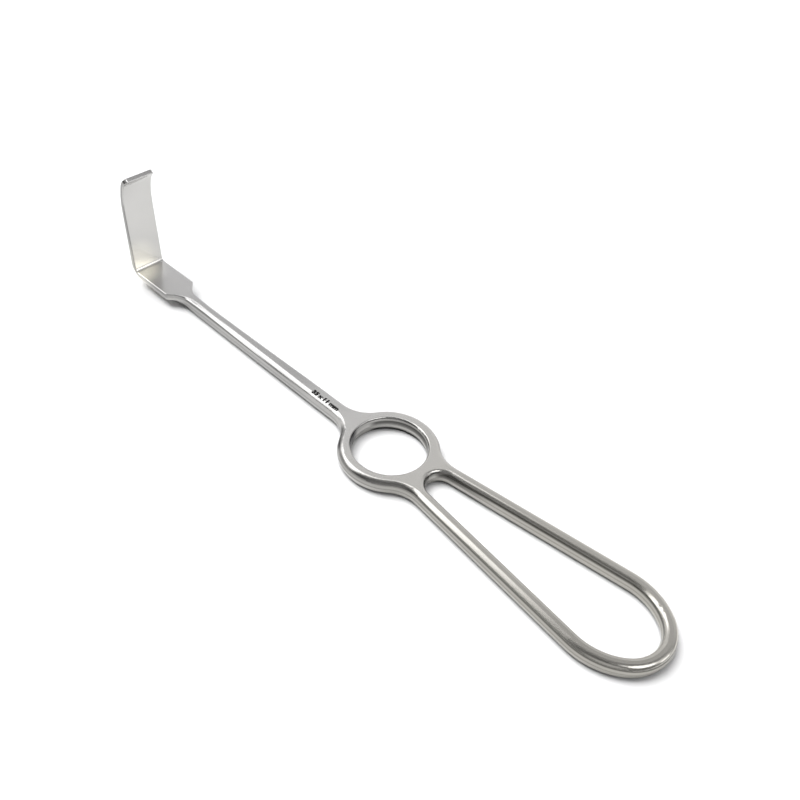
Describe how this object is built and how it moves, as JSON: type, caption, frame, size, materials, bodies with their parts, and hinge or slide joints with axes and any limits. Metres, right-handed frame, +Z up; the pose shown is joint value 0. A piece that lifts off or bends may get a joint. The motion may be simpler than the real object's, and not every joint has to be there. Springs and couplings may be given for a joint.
{
  "type": "handheld surgical retractor",
  "caption": "Handheld surgical retractor: open drop-shaped loop handle, finger ring, slim straight shank and a narrow upright blade with a curled tip.",
  "frame": {"origin": "middle of the tool's length and width, on the plane that it lies on", "axes": "+X from the blade to the handle's far end, +Y across the tool, +Z up from the resting plane, the way the blade stands"},
  "size_m": [0.215, 0.0314, 0.0398],
  "materials": {
    "steel": "satin, softly polished stainless steel"
  },
  "bodies": {
    "root": {"retractor": "steel"}
  },
  "joints": []
}
